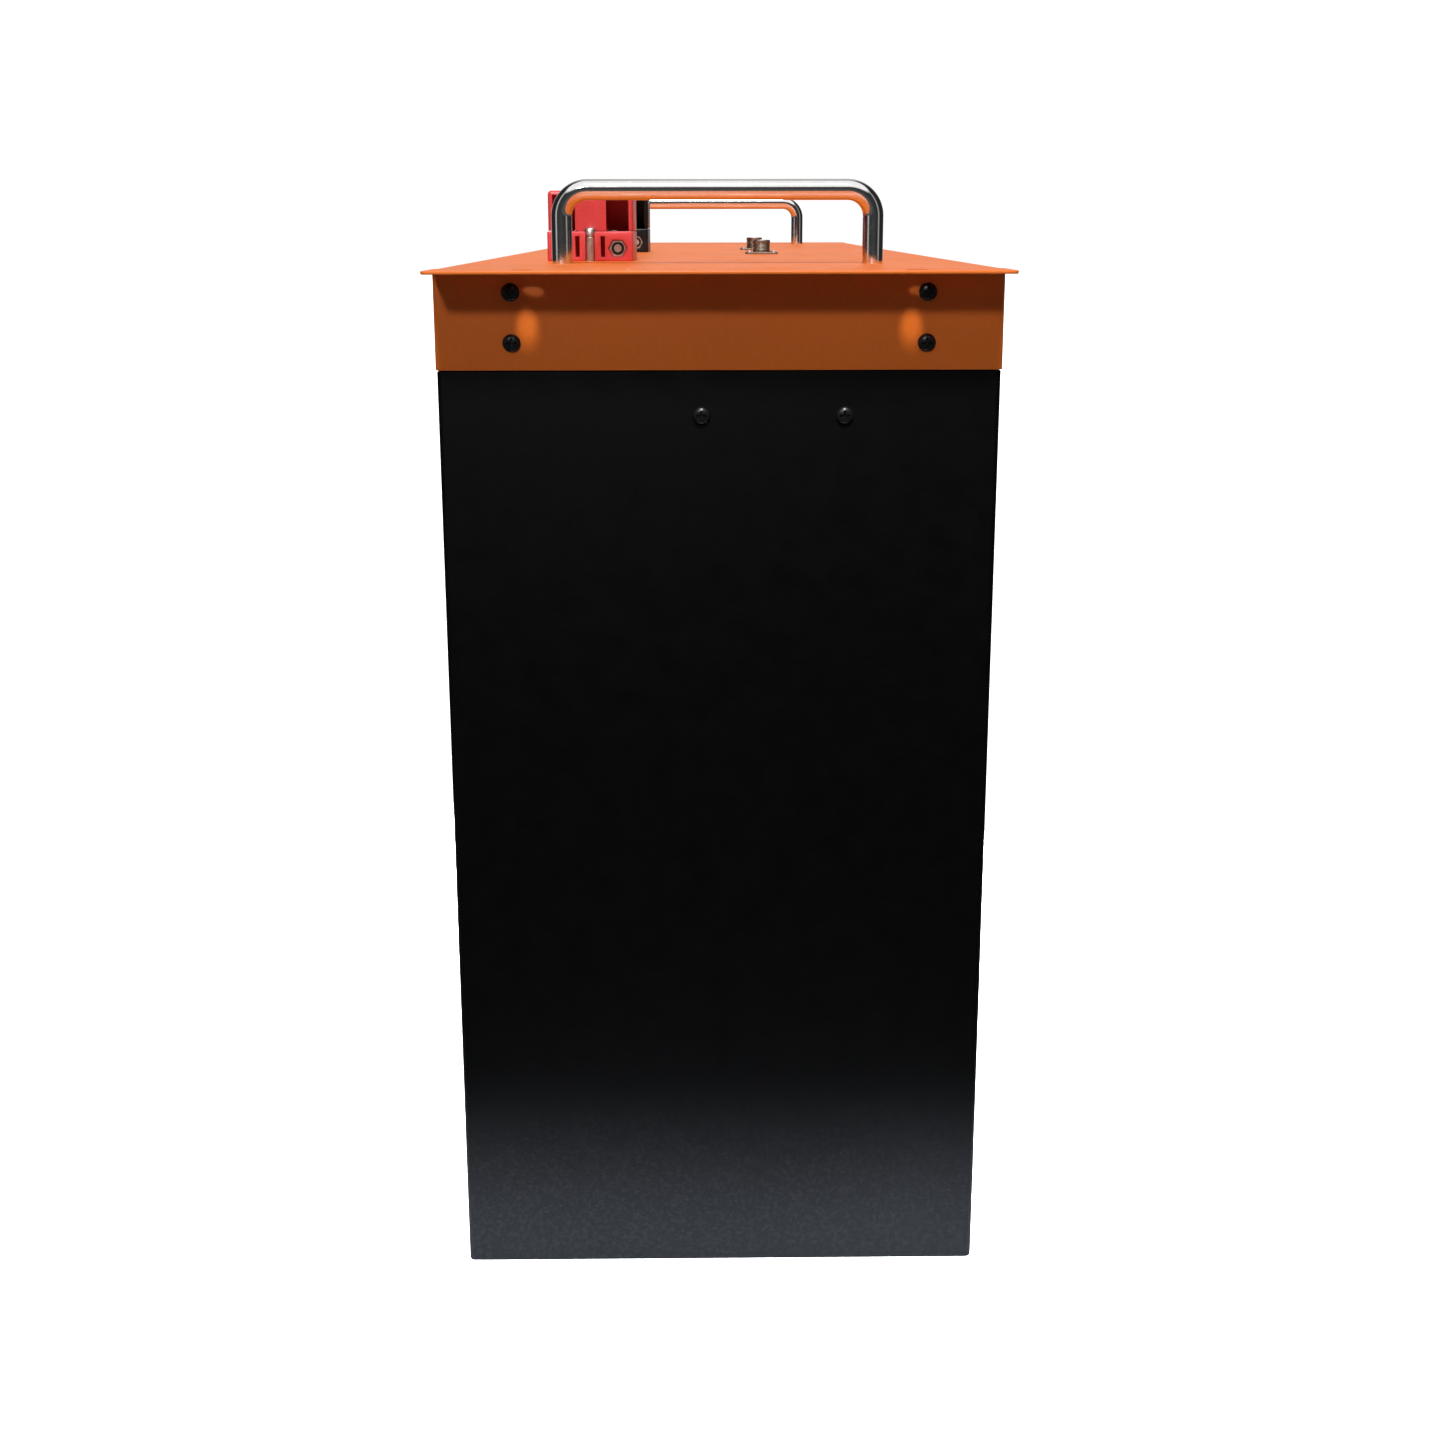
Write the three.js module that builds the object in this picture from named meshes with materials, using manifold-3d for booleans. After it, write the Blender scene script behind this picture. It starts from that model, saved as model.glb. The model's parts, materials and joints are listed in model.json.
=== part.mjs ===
// Battery pack for home energy storage. A tall sheet-steel case holds two layers of prismatic
// cells, a battery management board and a fuse. The lid runs out into a mounting ear at each end
// and carries two U-handles, a red and a black terminal block with hinged hoods, and two round
// signal sockets.
// Units are millimetres. X runs across the pack, Y along it, Z up. The origin is the centre of
// the underside.
import * as THREE from 'three';
import { mergeVertices } from 'three/addons/utils/BufferGeometryUtils.js';
import Module from 'manifold-3d';

const wasm = await Module();
wasm.setup();

// Driving dimensions.
const SHEET = 1.5;
const SKIRT = { width: 250, length: 800, depth: 44 };
const LID_TOP = 485;
const END_OVERHANG = 30;
const EAR_HOLE = { x: 84, reach: 15, radius: 4.75 };
const CASE_INSET = 0.5;
const FIT_GAP = 0.3;
const BEND_RADIUS = 2.5;
const TOUCH = 0.3;

const HANDLE = { span: 150, height: 40, bar: 10, bend: 12.5, inset: 82, sides: 12, pitch: 5 };
const HANDLE_SCREW = { radius: 2.4, bore: 2.7, reach: 12, head: 4.6, headHeight: 3 };

const BLOCK = { x: -65, width: 44, length: 50, baseHeight: 15, front: 132, pitch: 231 };
const HOOD = { setback: 6.8, height: 21, wall: 2.4, roof: 1.5, panel: 16, sill: 0.3 };
const HINGE = {
  radius: 2.8,
  pin: 1.2,
  bore: 1.45,
  back: 3,
  rise: 3,
  foot: 4,
  earOuter: 20,
  earInner: 12,
};
const STUD = { radius: 3, notch: 4.2, inset: 3.4, above: 17, below: 12 };
const STEM = { width: 14, depth: 6, inset: 28, below: 26, clearance: 0.6 };
const LUG_PLATE = { width: 16, length: 28, thickness: 3, stud: 4, studHeight: 13 };
const CLAMP = { x: 14.2, height: 6.5, radius: 2.4, bore: 2.65, head: 4.3, pocket: 5.1, sink: 5 };
const SLOT = { x: 6.5, width: 2.3, height: 10.6, rise: 2.1, depth: 3 };

const SOCKET = { x: 29.5, near: 313, far: 454, barrel: 5.5, height: 8.5, flange: 20, plate: 1 };
const SOCKET_BODY = { radius: 5.2, below: 14, recess: 4.4, recessDepth: 3, hole: 5.6 };

const COVER_SCREW = { x: 91, drops: [10, 32], radius: 2.4, bore: 2.7, head: 4, headHeight: 2.2 };
const SCREW_REACH = 12;
const BRACKET_SCREW = { xs: [-8, 55.5], drop: 64 };

const CELL = { width: 207, thickness: 72, height: 174, gap: 0.5, perLayer: 8 };
const CELL_TERMINAL = { radius: 7, height: 2, spacing: 100 };
const CELL_LEFT = -113;
const FLOOR_PAD = 4;
const SEPARATOR = { thickness: 4, gap: 0.5 };
const END_PLATE = { thickness: 6, margin: 2 };
const LINK_BOARD = { thickness: 3, margin: 6 };

const BRACKET = { width: 128, x: 24, bottom: 190, top: 438, sheet: 2, spacer: 4, reach: 7.7 };
const BOARD = { width: 138, height: 200, bottom: 200, thickness: 18, holeInset: 16 };
const FUSE = { x: -70, width: 40, depth: 24, height: 96, bottom: 230, tab: 16, tabHeight: 14 };
const LEAD = { radius: 5, sides: 10, pitch: 12 };
const SIGNAL_LEAD_RADIUS = 2;

const CASE = {
  width: SKIRT.width - 2 * CASE_INSET,
  length: SKIRT.length - 2 * CASE_INSET,
  top: LID_TOP - SKIRT.depth - CASE_INSET,
};
const NECK = {
  width: SKIRT.width - 2 * (SHEET + FIT_GAP),
  length: SKIRT.length - 2 * (SHEET + FIT_GAP),
  top: LID_TOP - SHEET - 2.5,
};
const FRONT = -SKIRT.length / 2;
const CASE_FRONT = -CASE.length / 2;
const INNER_FRONT = CASE_FRONT + SHEET;
const INNER_REAR = -INNER_FRONT;
const LID_UNDER = LID_TOP - SHEET;

const FINISH = {
  orange: [0xe8681c, 0.45, 0.1],
  black: [0x141418, 0.6, 0.1],
  chrome: [0xd8dade, 0.08, 1],
  nickel: [0xb9b6ae, 0.25, 1],
  copper: [0xb8734a, 0.3, 1],
  redPlastic: [0xc8282c, 0.5, 0],
  blackPlastic: [0x1a1a1c, 0.5, 0],
  screwBlack: [0x101012, 0.4, 0.6],
  cellFilm: [0x2a63b8, 0.35, 0],
  boardGreen: [0x1f5a3a, 0.5, 0],
  fibre: [0xc9bd8c, 0.7, 0],
  aluminium: [0xb4b6ba, 0.4, 1],
  fuseBody: [0xe6e2d6, 0.5, 0],
};

const pack = new THREE.Group();

function material(name) {
  const [color, roughness, metalness] = FINISH[name];
  return new THREE.MeshStandardMaterial({ color, roughness, metalness });
}

// A closed geometry as a solid for cutting and joining.
function solid(geometry) {
  const bare = geometry.index ? geometry.clone() : geometry;
  bare.deleteAttribute('normal');
  bare.deleteAttribute('uv');
  const merged = mergeVertices(bare, 1e-4);
  const vertProperties = new Float32Array(merged.attributes.position.array);
  const triVerts = new Uint32Array(merged.index.array);
  return new wasm.Manifold(new wasm.Mesh({ numProp: 3, vertProperties, triVerts }));
}

function geometryOf(body) {
  const mesh = body.getMesh();
  const geometry = new THREE.BufferGeometry();
  geometry.setAttribute('position', new THREE.BufferAttribute(mesh.vertProperties, 3));
  geometry.setIndex(new THREE.BufferAttribute(mesh.triVerts, 1));
  geometry.computeVertexNormals();
  return geometry;
}

function add(name, finish, shape, position = [0, 0, 0]) {
  const geometry = shape.isBufferGeometry ? shape : geometryOf(shape);
  const mesh = new THREE.Mesh(geometry, material(finish));
  mesh.name = name;
  mesh.position.set(...position);
  pack.add(mesh);
}

// A box between two corners.
function block(low, high) {
  const size = high.map((value, i) => value - low[i]);
  const geometry = new THREE.BoxGeometry(...size);
  geometry.translate(...low.map((value, i) => value + size[i] / 2));
  return solid(geometry);
}

// A round bar from one point along X, Y or Z.
function rod(radius, start, axis, length, sides = 12) {
  const geometry = new THREE.CylinderGeometry(radius, radius, length, sides);
  geometry.translate(0, length / 2, 0);
  if (axis === 'z') geometry.rotateX(Math.PI / 2);
  if (axis === 'x') geometry.rotateZ(-Math.PI / 2);
  geometry.translate(...start);
  return solid(geometry);
}

function roundedOutline(width, length, radius) {
  const x = width / 2 - radius;
  const y = length / 2 - radius;
  const outline = new THREE.Shape();
  outline.absarc(x, y, radius, 0, Math.PI / 2);
  outline.absarc(-x, y, radius, Math.PI / 2, Math.PI);
  outline.absarc(-x, -y, radius, Math.PI, Math.PI * 1.5);
  outline.absarc(x, -y, radius, Math.PI * 1.5, Math.PI * 2);
  return outline;
}

// An upright prism with rounded corners, centred on the origin in plan.
function prism(width, length, radius, bottom, top) {
  const outline = roundedOutline(width, length, radius);
  const options = { depth: top - bottom, bevelEnabled: false, curveSegments: 4 };
  const geometry = new THREE.ExtrudeGeometry(outline, options);
  geometry.translate(0, 0, bottom);
  return solid(geometry);
}

// A round section swept along a curve.
function sweep(curve, radius, sides, pitch) {
  const section = new THREE.Shape();
  for (let i = 0; i < sides; i += 1) {
    const angle = (2 * Math.PI * i) / sides;
    const point = [radius * Math.cos(angle), radius * Math.sin(angle)];
    if (i === 0) section.moveTo(...point);
    else section.lineTo(...point);
  }
  section.closePath();
  const steps = Math.round(curve.getLength() / pitch);
  const options = { steps, extrudePath: curve, bevelEnabled: false };
  return solid(new THREE.ExtrudeGeometry(section, options));
}

// A quarter turn of a bent bar, from one direction into another.
class BendCurve extends THREE.Curve {
  constructor(centre, from, to) {
    super();
    this.centre = centre;
    this.from = from;
    this.to = to;
  }

  getPoint(t, target = new THREE.Vector3()) {
    const angle = (t * Math.PI) / 2;
    target.copy(this.centre);
    target.addScaledVector(this.from, Math.cos(angle));
    return target.addScaledVector(this.to, Math.sin(angle));
  }
}

// Cutters for the screws that hold the lid's skirt to the case's neck, at both ends.
function coverScrewPlaces() {
  const places = [];
  for (const end of [-1, 1]) {
    for (const side of [-1, 1]) {
      for (const drop of COVER_SCREW.drops) {
        places.push({ end, x: side * COVER_SCREW.x, z: LID_TOP - drop });
      }
    }
  }
  return places;
}

function coverScrewHoles() {
  return coverScrewPlaces().map(({ end, x, z }) => {
    const start = end * (SKIRT.length / 2) - 8;
    return rod(COVER_SCREW.bore, [x, start, z], 'y', 16);
  });
}

// The open-topped case, stepped in under the lid's skirt.
function caseShell() {
  let body = prism(CASE.width, CASE.length, BEND_RADIUS, 0, CASE.top);
  body = body.add(prism(NECK.width, NECK.length, BEND_RADIUS, CASE.top - SHEET, NECK.top));
  const shoulder = CASE.top - SHEET;
  const innerRadius = BEND_RADIUS - SHEET;
  const room = [CASE.width - 2 * SHEET, CASE.length - 2 * SHEET];
  const mouth = [NECK.width - 2 * SHEET, NECK.length - 2 * SHEET];
  body = body.subtract(prism(...room, innerRadius, SHEET, shoulder));
  body = body.subtract(prism(...mouth, innerRadius, shoulder - 1, NECK.top + 1));
  for (const hole of coverScrewHoles()) body = body.subtract(hole);
  for (const x of BRACKET_SCREW.xs) {
    const start = [x, CASE_FRONT - 2, LID_TOP - BRACKET_SCREW.drop];
    body = body.subtract(rod(COVER_SCREW.bore, start, 'y', 6));
  }
  return body;
}

function handleEnds() {
  const y = SKIRT.length / 2 - HANDLE.inset;
  return { front: -y, rear: y };
}

// The lid: a flat plate over a welded skirt. It runs on past the skirt at both ends as a
// mounting ear with two screw holes.
function lidCover() {
  const { width, length, depth } = SKIRT;
  let body = prism(width, length + 2 * END_OVERHANG, BEND_RADIUS, LID_UNDER, LID_TOP);
  body = body.add(prism(width, length, BEND_RADIUS, LID_TOP - depth, LID_UNDER + SHEET / 2));
  const inside = [width - 2 * SHEET, length - 2 * SHEET];
  const hollow = prism(...inside, BEND_RADIUS - SHEET, LID_TOP - depth - 1, LID_UNDER);
  body = body.subtract(hollow);
  for (const hole of coverScrewHoles()) body = body.subtract(hole);
  for (const end of [-1, 1]) {
    for (const side of [-1, 1]) {
      const y = end * (length / 2 + EAR_HOLE.reach);
      const start = [side * EAR_HOLE.x, y, LID_UNDER - 1];
      body = body.subtract(rod(EAR_HOLE.radius, start, 'z', SHEET + 2, 24));
    }
  }
  for (const y of Object.values(handleEnds())) {
    for (const side of [-1, 1]) {
      const start = [(side * HANDLE.span) / 2, y, LID_UNDER - 1];
      body = body.subtract(rod(HANDLE_SCREW.bore, start, 'z', SHEET + 2));
    }
  }
  for (const y of [SOCKET.near, SOCKET.far]) {
    const start = [SOCKET.x, FRONT + y, LID_UNDER - 1];
    body = body.subtract(rod(SOCKET_BODY.hole, start, 'z', SHEET + 2, 20));
  }
  for (const y of blockFronts()) {
    const stem = y + STEM.inset;
    const low = [BLOCK.x - STEM.width / 2 - 2, stem - STEM.depth / 2 - 2, LID_UNDER - 1];
    const high = [BLOCK.x + STEM.width / 2 + 2, stem + STEM.depth / 2 + 2, LID_TOP + 1];
    body = body.subtract(block(low, high));
    const stud = [BLOCK.x, y + STUD.inset, LID_UNDER - 1];
    body = body.subtract(rod(STUD.radius + FIT_GAP, stud, 'z', SHEET + 2));
  }
  return body;
}

// A U-handle bent from round bar, with a threaded hole up each leg.
function handle(y) {
  const half = HANDLE.span / 2;
  const top = LID_TOP + HANDLE.height - HANDLE.bar / 2;
  const { bend } = HANDLE;
  const along = new THREE.Vector3(1, 0, 0);
  const up = new THREE.Vector3(0, 0, 1);
  const at = (x, z) => new THREE.Vector3(x, y, z);
  const arm = (direction, sign) => direction.clone().multiplyScalar(sign * bend);
  const path = new THREE.CurvePath();
  path.add(new THREE.LineCurve3(at(-half, LID_TOP), at(-half, top - bend)));
  path.add(new BendCurve(at(-half + bend, top - bend), arm(along, -1), arm(up, 1)));
  path.add(new THREE.LineCurve3(at(-half + bend, top), at(half - bend, top)));
  path.add(new BendCurve(at(half - bend, top - bend), arm(up, 1), arm(along, 1)));
  path.add(new THREE.LineCurve3(at(half, top - bend), at(half, LID_TOP)));
  let body = sweep(path, HANDLE.bar / 2, HANDLE.sides, HANDLE.pitch);
  for (const x of [-half, half]) {
    const depth = HANDLE_SCREW.reach + 2;
    body = body.subtract(rod(HANDLE_SCREW.bore, [x, y, LID_TOP - 1], 'z', depth + 1));
  }
  return body;
}

function handleScrew(x, y) {
  const under = [x, y, LID_UNDER - HANDLE_SCREW.headHeight];
  const head = rod(HANDLE_SCREW.head, under, 'z', HANDLE_SCREW.headHeight);
  const length = HANDLE_SCREW.headHeight + SHEET + HANDLE_SCREW.reach;
  return head.add(rod(HANDLE_SCREW.radius, under, 'z', length));
}

// A pan-head screw driven along Y, with its head seated on the plane seat.
function wallScrew(x, seat, z, inward) {
  const headStart = inward > 0 ? seat - COVER_SCREW.headHeight : seat;
  const head = rod(COVER_SCREW.head, [x, headStart, z], 'y', COVER_SCREW.headHeight);
  const shankStart = inward > 0 ? seat - 1 : seat - SCREW_REACH;
  return head.add(rod(COVER_SCREW.radius, [x, shankStart, z], 'y', SCREW_REACH + 1));
}

// Front planes of the red and the black terminal block.
function blockFronts() {
  const red = FRONT + BLOCK.front;
  return [red, red + BLOCK.pitch];
}

function hingeAxis(front) {
  return { y: front + BLOCK.length + HINGE.back, z: LID_TOP + BLOCK.baseHeight + HINGE.rise };
}

// A terminal block's base, with hinge ears at its back.
function terminalBase(front) {
  const { x, width, length, baseHeight } = BLOCK;
  const top = LID_TOP + baseHeight;
  const back = front + length;
  let body = block([x - width / 2, front, LID_TOP], [x + width / 2, back, top]);
  const axis = hingeAxis(front);
  for (const side of [-1, 1]) {
    const inner = Math.min(side * HINGE.earInner, side * HINGE.earOuter);
    const ear = HINGE.earOuter - HINGE.earInner;
    const foot = [x + inner, back - 1, top - HINGE.foot];
    body = body.add(block(foot, [x + inner + ear, axis.y + HINGE.radius, top]));
    const neck = [x + inner, axis.y - HINGE.radius, top - 1];
    body = body.add(block(neck, [x + inner + ear, axis.y + HINGE.radius, axis.z]));
    body = body.add(rod(HINGE.radius, [x + inner, axis.y, axis.z], 'x', ear, 16));
    const bolt = [x + side * CLAMP.x, front - 1, LID_TOP + CLAMP.height];
    body = body.subtract(rod(CLAMP.bore, bolt, 'y', length + 2));
    body = body.subtract(rod(CLAMP.pocket, bolt, 'y', CLAMP.sink + 1, 6));
    const rear = [bolt[0], back - CLAMP.sink, bolt[2]];
    body = body.subtract(rod(CLAMP.pocket, rear, 'y', CLAMP.sink + 1));
    const slot = x + side * SLOT.x;
    const low = [slot - SLOT.width / 2, front - 1, LID_TOP + SLOT.rise];
    const high = [slot + SLOT.width / 2, front + SLOT.depth, low[2] + SLOT.height];
    body = body.subtract(block(low, high));
  }
  const bore = [x - HINGE.earOuter - 1, axis.y, axis.z];
  body = body.subtract(rod(HINGE.bore, bore, 'x', 2 * HINGE.earOuter + 2));
  const notch = [x, front + STUD.inset, LID_TOP - 1];
  body = body.subtract(rod(STUD.notch, notch, 'z', baseHeight + 2, 16));
  const gap = STEM.clearance;
  const well = [x - STEM.width / 2 - gap, front + STEM.inset - STEM.depth / 2 - gap, LID_TOP - 1];
  const wellTop = [x + STEM.width / 2 + gap, front + STEM.inset + STEM.depth / 2 + gap, top + 1];
  return body.subtract(block(well, wellTop));
}

// The hinged hood: a box open below, with a cable window on each side of its front panel.
function terminalHood(front) {
  const { x, width } = BLOCK;
  const half = width / 2;
  const bottom = LID_TOP + BLOCK.baseHeight + HOOD.sill;
  const top = LID_TOP + BLOCK.baseHeight + HOOD.height;
  const face = front + HOOD.setback;
  const back = front + BLOCK.length;
  const inner = half - HOOD.wall;
  let body = block([x - half, face, bottom], [x + half, back, top]);
  const cavity = [x - inner, face + HOOD.wall, bottom - 1];
  const ceiling = top - HOOD.roof;
  body = body.subtract(block(cavity, [x + inner, back - HOOD.wall, ceiling]));
  for (const side of [-1, 1]) {
    const near = (side * HOOD.panel) / 2;
    const far = side * inner;
    const low = [x + Math.min(near, far), face - 1, bottom - 1];
    const high = [x + Math.max(near, far), face + HOOD.wall + 1, ceiling];
    body = body.subtract(block(low, high));
  }
  const axis = hingeAxis(front);
  const reach = HINGE.earInner - TOUCH;
  const web = [x - reach, back - 1, bottom + 0.1];
  body = body.add(block(web, [x + reach, axis.y, axis.z + HINGE.radius]));
  const barrel = [x - reach, axis.y, axis.z];
  body = body.add(rod(HINGE.radius - 0.1, barrel, 'x', 2 * reach, 16));
  const bore = [x - reach - 1, axis.y, axis.z];
  return body.subtract(rod(HINGE.bore, bore, 'x', 2 * reach + 2));
}

function hingePin(front) {
  const axis = hingeAxis(front);
  const start = [BLOCK.x - HINGE.earOuter, axis.y, axis.z];
  return rod(HINGE.pin, start, 'x', 2 * HINGE.earOuter);
}

// The copper conductor: a stem through the lid, a plate for cable lugs and its stud.
function conductor(front) {
  const { x } = BLOCK;
  const seat = LID_TOP + BLOCK.baseHeight;
  const y = front + STEM.inset;
  const { width, length, thickness, stud, studHeight } = LUG_PLATE;
  const low = [x - width / 2, y - length / 2, seat];
  const high = [x + width / 2, y + length / 2, seat + thickness];
  let body = block(low, high);
  const stem = [x - STEM.width / 2, y - STEM.depth / 2, LID_TOP - STEM.below];
  body = body.add(block(stem, [x + STEM.width / 2, y + STEM.depth / 2, seat + 1]));
  return body.add(rod(stud, [x, y, seat + thickness - 1], 'z', studHeight + 1, 14));
}

// The post that holds a block to the lid, with its nut under the plate.
function mountingStud(front) {
  const start = [BLOCK.x, front + STUD.inset, LID_TOP - STUD.below];
  const post = rod(STUD.radius, start, 'z', STUD.below + STUD.above, 16);
  const nut = [start[0], start[1], LID_UNDER - 5];
  return post.add(rod(STUD.radius * 1.8, nut, 'z', 5, 6));
}

// A screw through the base from back to front, which clamps the base's halves.
function clampBolt(front, side) {
  const x = BLOCK.x + side * CLAMP.x;
  const z = LID_TOP + CLAMP.height;
  const back = front + BLOCK.length - CLAMP.sink;
  const shank = rod(CLAMP.radius, [x, front + 1, z], 'y', BLOCK.length - CLAMP.sink);
  return shank.add(rod(CLAMP.head, [x, back, z], 'y', CLAMP.sink - 1));
}

// A round panel socket: square flange, barrel with a shallow mouth, body under the lid.
function signalSocket(y) {
  const { x, barrel, height, flange, plate } = SOCKET;
  const { radius, below, recess, recessDepth } = SOCKET_BODY;
  const place = [x, y, 0];
  const foot = prism(flange, flange, 2, LID_TOP, LID_TOP + plate).translate(place);
  let body = foot.add(rod(barrel, [x, y, LID_TOP], 'z', height, 20));
  body = body.add(rod(radius, [x, y, LID_TOP - below], 'z', below + 1, 20));
  const mouth = [x, y, LID_TOP + height - recessDepth];
  return body.subtract(rod(recess, mouth, 'z', recessDepth + 1, 20));
}

// Inner pieces.
const CELLS_REAR = INNER_REAR - END_PLATE.margin - END_PLATE.thickness - CELL.gap;
const CELL_PITCH = CELL.thickness + CELL.gap;
const CELLS_FRONT = CELLS_REAR - CELL_PITCH * CELL.perLayer + CELL.gap;
const LAYER_FLOORS = [
  FLOOR_PAD,
  FLOOR_PAD + CELL.height + SEPARATOR.thickness + 2 * SEPARATOR.gap,
];
const CELLS_TOP = LAYER_FLOORS[1] + CELL.height;

// One prismatic cell lying on its side, with its two terminals towards +X.
function cell() {
  const { width, thickness, height } = CELL;
  let body = block([0, 0, 0], [width, thickness, height]);
  for (const side of [-1, 1]) {
    const z = height / 2 + (side * CELL_TERMINAL.spacing) / 2;
    const start = [width - 1, thickness / 2, z];
    body = body.add(rod(CELL_TERMINAL.radius, start, 'x', CELL_TERMINAL.height + 1, 10));
  }
  return body;
}

function endPlate() {
  const low = [CELL_LEFT, 0, FLOOR_PAD];
  return block(low, [CELL_LEFT + CELL.width, END_PLATE.thickness, CELLS_TOP]);
}

function separator() {
  const bottom = FLOOR_PAD + CELL.height + SEPARATOR.gap;
  const low = [CELL_LEFT, CELLS_FRONT, bottom];
  return block(low, [CELL_LEFT + CELL.width, CELLS_REAR, bottom + SEPARATOR.thickness]);
}

function linkBoard() {
  const x = CELL_LEFT + CELL.width + CELL_TERMINAL.height + TOUCH;
  const { thickness, margin } = LINK_BOARD;
  const low = [x, CELLS_FRONT + margin, FLOOR_PAD + margin];
  return block(low, [x + thickness, CELLS_REAR - margin, CELLS_TOP - margin]);
}

function boardCorners() {
  const dx = BOARD.width / 2 - BOARD.holeInset;
  const z = BOARD.bottom + BOARD.holeInset;
  const top = BOARD.bottom + BOARD.height - BOARD.holeInset;
  return [[-dx, z], [dx, z], [-dx, top], [dx, top]];
}

// The bracket that the front wall's two screws hold, with four spacers for the board.
function boardBracket() {
  const y = INNER_FRONT + TOUCH;
  const { x, width, bottom, top, sheet, spacer, reach } = BRACKET;
  let body = block([x - width / 2, y, bottom], [x + width / 2, y + sheet, top]);
  for (const [dx, z] of boardCorners()) {
    body = body.add(rod(spacer, [x + dx, y + sheet - 1, z], 'y', reach + 1, 10));
  }
  for (const screwX of BRACKET_SCREW.xs) {
    const start = [screwX, y - 1, LID_TOP - BRACKET_SCREW.drop];
    body = body.subtract(rod(COVER_SCREW.bore, start, 'y', sheet + 2));
  }
  return body;
}

const BOARD_FRONT = INNER_FRONT + TOUCH + BRACKET.sheet + BRACKET.reach + TOUCH;

function managementBoard() {
  const half = BOARD.width / 2;
  const low = [BRACKET.x - half, BOARD_FRONT, BOARD.bottom];
  const high = [BRACKET.x + half, BOARD_FRONT + BOARD.thickness, BOARD.bottom + BOARD.height];
  return block(low, high);
}

const FUSE_BACK = CELLS_FRONT - CELL.gap - END_PLATE.thickness - TOUCH;

// The main fuse, a rounded body with a flat tab at each end.
function mainFuse() {
  const { x, width, depth, height, bottom, tab, tabHeight } = FUSE;
  const middle = FUSE_BACK - depth / 2;
  const body = prism(width, depth, 4, bottom, bottom + height).translate([x, middle, 0]);
  const low = [x - tab / 2, middle - 2, bottom - tabHeight];
  return body.add(block(low, [x + tab / 2, middle + 2, bottom + height + tabHeight]));
}

function lead(points, radius) {
  const curve = new THREE.CatmullRomCurve3(points.map((point) => new THREE.Vector3(...point)));
  return sweep(curve, radius, LEAD.sides, LEAD.pitch);
}

add('case_shell', 'black', caseShell());
add('lid_cover', 'orange', lidCover());

for (const [name, y] of Object.entries(handleEnds())) {
  add(`handle_${name}`, 'chrome', handle(y));
  add(`handle_screw_${name}_left`, 'nickel', handleScrew(-HANDLE.span / 2, y));
  add(`handle_screw_${name}_right`, 'nickel', handleScrew(HANDLE.span / 2, y));
}

const [RED_FRONT, BLACK_FRONT] = blockFronts();
for (const [pole, front] of [['red', RED_FRONT], ['black', BLACK_FRONT]]) {
  const plastic = `${pole}Plastic`;
  add(`${pole}_terminal_base`, plastic, terminalBase(front));
  add(`${pole}_terminal_hood`, plastic, terminalHood(front));
  add(`${pole}_hinge_pin`, 'nickel', hingePin(front));
  add(`${pole}_conductor`, 'copper', conductor(front));
  add(`${pole}_mounting_stud`, 'nickel', mountingStud(front));
  add(`${pole}_clamp_bolt_left`, 'nickel', clampBolt(front, -1));
  add(`${pole}_clamp_bolt_right`, 'nickel', clampBolt(front, 1));
}

add('signal_socket_near', 'nickel', signalSocket(FRONT + SOCKET.near));
add('signal_socket_far', 'nickel', signalSocket(FRONT + SOCKET.far));

coverScrewPlaces().forEach(({ end, x, z }, index) => {
  const name = `cover_screw_${end < 0 ? 'front' : 'rear'}_${(index % 4) + 1}`;
  add(name, 'screwBlack', wallScrew(x, (end * SKIRT.length) / 2, z, -end));
});
BRACKET_SCREW.xs.forEach((x, index) => {
  const screw = wallScrew(x, CASE_FRONT, LID_TOP - BRACKET_SCREW.drop, 1);
  add(`bracket_screw_${index + 1}`, 'screwBlack', screw);
});

['lower', 'upper'].forEach((layer, row) => {
  for (let i = 0; i < CELL.perLayer; i += 1) {
    const place = [CELL_LEFT, CELLS_FRONT + i * CELL_PITCH, LAYER_FLOORS[row]];
    add(`cell_${layer}_${i + 1}`, 'cellFilm', cell(), place);
  }
});
add('layer_separator', 'fibre', separator());
add('end_plate_front', 'fibre', endPlate(), [0, FUSE_BACK + TOUCH, 0]);
add('end_plate_rear', 'fibre', endPlate(), [0, CELLS_REAR + CELL.gap, 0]);
add('link_board', 'fibre', linkBoard());
add('board_bracket', 'aluminium', boardBracket());
add('management_board', 'boardGreen', managementBoard());
add('main_fuse', 'fuseBody', mainFuse());

const STEM_END = LID_TOP - STEM.below - TOUCH;
const FUSE_TAB_TOP = FUSE.bottom + FUSE.height + FUSE.tabHeight + TOUCH;
const FUSE_MIDDLE = FUSE_BACK - FUSE.depth / 2;
const RED_STEM = RED_FRONT + STEM.inset;
const BLACK_STEM = BLACK_FRONT + STEM.inset;
const BOARD_TOP = BOARD.bottom + BOARD.height + TOUCH;
const BOARD_MIDDLE = BOARD_FRONT + BOARD.thickness / 2;

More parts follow.
